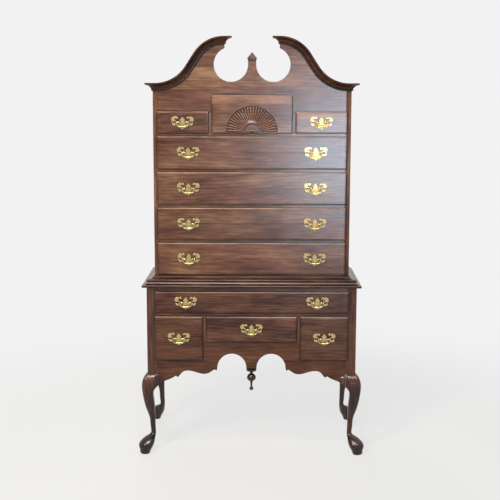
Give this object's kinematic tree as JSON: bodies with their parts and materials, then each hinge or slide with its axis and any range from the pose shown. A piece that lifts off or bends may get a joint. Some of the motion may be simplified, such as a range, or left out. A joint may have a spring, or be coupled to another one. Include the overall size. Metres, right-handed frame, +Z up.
{
  "type": "tall chest of drawers",
  "caption": "Tall two-part wooden chest of drawers with a scrolled pediment, carved fan drawer, brass bail pulls, scalloped apron and cabriole legs.",
  "frame": {"origin": "on the floor under the middle of the chest, centred on the four feet", "axes": "+X to the right seen from the front, the drawers open towards -Y, +Z up"},
  "size_m": [1.0656, 0.5856, 1.9422],
  "materials": {
    "case_wood": "satin lacquer",
    "drawer_wood": "satin lacquer",
    "leg_wood": "gloss lacquer",
    "inner_wood": "bare, planed",
    "brass": "polished, lacquered",
    "dark_brass": "antiqued"
  },
  "bodies": {
    "carcase": {"cabriole_legs": "leg_wood", "knee_blocks": "leg_wood", "front_apron": "case_wood", "turned_drop": "leg_wood", "side_panels": "case_wood", "drawer_rails": "case_wood", "drawer_runners": "inner_wood", "back_boards": "inner_wood", "waist_moulding": "case_wood", "pediment_board": "case_wood", "crown_moulding": "case_wood"},
    "small_left_drawer": {"small_left_front": "drawer_wood", "small_left_box": "inner_wood", "small_left_plates": "brass"},
    "small_left_bail": {"small_left_bail": "brass"},
    "small_right_drawer": {"small_right_front": "drawer_wood", "small_right_box": "inner_wood", "small_right_plates": "brass"},
    "small_right_bail": {"small_right_bail": "brass"},
    "fan_drawer": {"fan_front": "drawer_wood", "fan_box": "inner_wood", "fan_boss": "dark_brass"},
    "fan_ring": {"fan_ring": "dark_brass"},
    "long_1_drawer": {"long_1_front": "drawer_wood", "long_1_box": "inner_wood", "long_1_plates": "brass"},
    "long_1_left_bail": {"long_1_left_bail": "brass"},
    "long_1_right_bail": {"long_1_right_bail": "brass"},
    "long_2_drawer": {"long_2_front": "drawer_wood", "long_2_box": "inner_wood", "long_2_plates": "brass"},
    "long_2_left_bail": {"long_2_left_bail": "brass"},
    "long_2_right_bail": {"long_2_right_bail": "brass"},
    "long_3_drawer": {"long_3_front": "drawer_wood", "long_3_box": "inner_wood", "long_3_plates": "brass"},
    "long_3_left_bail": {"long_3_left_bail": "brass"},
    "long_3_right_bail": {"long_3_right_bail": "brass"},
    "long_4_drawer": {"long_4_front": "drawer_wood", "long_4_box": "inner_wood", "long_4_plates": "brass"},
    "long_4_left_bail": {"long_4_left_bail": "brass"},
    "long_4_right_bail": {"long_4_right_bail": "brass"},
    "lower_long_drawer": {"lower_long_front": "drawer_wood", "lower_long_box": "inner_wood", "lower_long_plates": "brass"},
    "lower_long_left_bail": {"lower_long_left_bail": "brass"},
    "lower_long_right_bail": {"lower_long_right_bail": "brass"},
    "lower_left_drawer": {"lower_left_front": "drawer_wood", "lower_left_box": "inner_wood", "lower_left_plates": "brass"},
    "lower_left_bail": {"lower_left_bail": "brass"},
    "lower_centre_drawer": {"lower_centre_front": "drawer_wood", "lower_centre_box": "inner_wood", "lower_centre_plates": "brass"},
    "lower_centre_bail": {"lower_centre_bail": "brass"},
    "lower_right_drawer": {"lower_right_front": "drawer_wood", "lower_right_box": "inner_wood", "lower_right_plates": "brass"},
    "lower_right_bail": {"lower_right_bail": "brass"}
  },
  "joints": [
    {"name": "small_left_slide", "type": "slide", "parent": "carcase", "child": "small_left_drawer", "axis": [0, -1, 0], "range_m": [0, 0.34]},
    {"name": "small_left_bail_swing", "type": "hinge", "parent": "small_left_drawer", "child": "small_left_bail", "pos_m": [-0.3166, -0.2338, 1.5575], "axis": [-1, 0, 0], "range_deg": [-10, 90]},
    {"name": "small_right_slide", "type": "slide", "parent": "carcase", "child": "small_right_drawer", "axis": [0, -1, 0], "range_m": [0, 0.34]},
    {"name": "small_right_bail_swing", "type": "hinge", "parent": "small_right_drawer", "child": "small_right_bail", "pos_m": [0.3166, -0.2338, 1.5575], "axis": [-1, 0, 0], "range_deg": [-10, 90]},
    {"name": "fan_slide", "type": "slide", "parent": "carcase", "child": "fan_drawer", "axis": [0, -1, 0], "range_m": [0, 0.34]},
    {"name": "fan_ring_swing", "type": "hinge", "parent": "fan_drawer", "child": "fan_ring", "pos_m": [0, -0.2318, 1.5187], "axis": [-1, 0, 0], "range_deg": [-5, 90]},
    {"name": "long_1_slide", "type": "slide", "parent": "carcase", "child": "long_1_drawer", "axis": [0, -1, 0], "range_m": [0, 0.34]},
    {"name": "long_1_left_bail_swing", "type": "hinge", "parent": "long_1_drawer", "child": "long_1_left_bail", "pos_m": [-0.292, -0.2338, 1.4192], "axis": [-1, 0, 0], "range_deg": [-10, 90]},
    {"name": "long_1_right_bail_swing", "type": "hinge", "parent": "long_1_drawer", "child": "long_1_right_bail", "pos_m": [0.292, -0.2338, 1.4192], "axis": [-1, 0, 0], "range_deg": [-10, 90]},
    {"name": "long_2_slide", "type": "slide", "parent": "carcase", "child": "long_2_drawer", "axis": [0, -1, 0], "range_m": [0, 0.34]},
    {"name": "long_2_left_bail_swing", "type": "hinge", "parent": "long_2_drawer", "child": "long_2_left_bail", "pos_m": [-0.292, -0.2338, 1.2554], "axis": [-1, 0, 0], "range_deg": [-10, 90]},
    {"name": "long_2_right_bail_swing", "type": "hinge", "parent": "long_2_drawer", "child": "long_2_right_bail", "pos_m": [0.292, -0.2338, 1.2554], "axis": [-1, 0, 0], "range_deg": [-10, 90]},
    {"name": "long_3_slide", "type": "slide", "parent": "carcase", "child": "long_3_drawer", "axis": [0, -1, 0], "range_m": [0, 0.34]},
    {"name": "long_3_left_bail_swing", "type": "hinge", "parent": "long_3_drawer", "child": "long_3_left_bail", "pos_m": [-0.292, -0.2338, 1.0916], "axis": [-1, 0, 0], "range_deg": [-10, 90]},
    {"name": "long_3_right_bail_swing", "type": "hinge", "parent": "long_3_drawer", "child": "long_3_right_bail", "pos_m": [0.292, -0.2338, 1.0916], "axis": [-1, 0, 0], "range_deg": [-10, 90]},
    {"name": "long_4_slide", "type": "slide", "parent": "carcase", "child": "long_4_drawer", "axis": [0, -1, 0], "range_m": [0, 0.34]},
    {"name": "long_4_left_bail_swing", "type": "hinge", "parent": "long_4_drawer", "child": "long_4_left_bail", "pos_m": [-0.292, -0.2338, 0.9278], "axis": [-1, 0, 0], "range_deg": [-10, 90]},
    {"name": "long_4_right_bail_swing", "type": "hinge", "parent": "long_4_drawer", "child": "long_4_right_bail", "pos_m": [0.292, -0.2338, 0.9278], "axis": [-1, 0, 0], "range_deg": [-10, 90]},
    {"name": "lower_long_slide", "type": "slide", "parent": "carcase", "child": "lower_long_drawer", "axis": [0, -1, 0], "range_m": [0, 0.36]},
    {"name": "lower_long_left_bail_swing", "type": "hinge", "parent": "lower_long_drawer", "child": "lower_long_left_bail", "pos_m": [-0.3055, -0.2698, 0.7288], "axis": [-1, 0, 0], "range_deg": [-10, 90]},
    {"name": "lower_long_right_bail_swing", "type": "hinge", "parent": "lower_long_drawer", "child": "lower_long_right_bail", "pos_m": [0.3055, -0.2698, 0.7288], "axis": [-1, 0, 0], "range_deg": [-10, 90]},
    {"name": "lower_left_slide", "type": "slide", "parent": "carcase", "child": "lower_left_drawer", "axis": [0, -1, 0], "range_m": [0, 0.36]},
    {"name": "lower_left_bail_swing", "type": "hinge", "parent": "lower_left_drawer", "child": "lower_left_bail", "pos_m": [-0.339, -0.2698, 0.5573], "axis": [-1, 0, 0], "range_deg": [-10, 90]},
    {"name": "lower_centre_slide", "type": "slide", "parent": "carcase", "child": "lower_centre_drawer", "axis": [0, -1, 0], "range_m": [0, 0.36]},
    {"name": "lower_centre_bail_swing", "type": "hinge", "parent": "lower_centre_drawer", "child": "lower_centre_bail", "pos_m": [0, -0.2698, 0.6003], "axis": [-1, 0, 0], "range_deg": [-10, 90]},
    {"name": "lower_right_slide", "type": "slide", "parent": "carcase", "child": "lower_right_drawer", "axis": [0, -1, 0], "range_m": [0, 0.36]},
    {"name": "lower_right_bail_swing", "type": "hinge", "parent": "lower_right_drawer", "child": "lower_right_bail", "pos_m": [0.339, -0.2698, 0.5573], "axis": [-1, 0, 0], "range_deg": [-10, 90]}
  ]
}
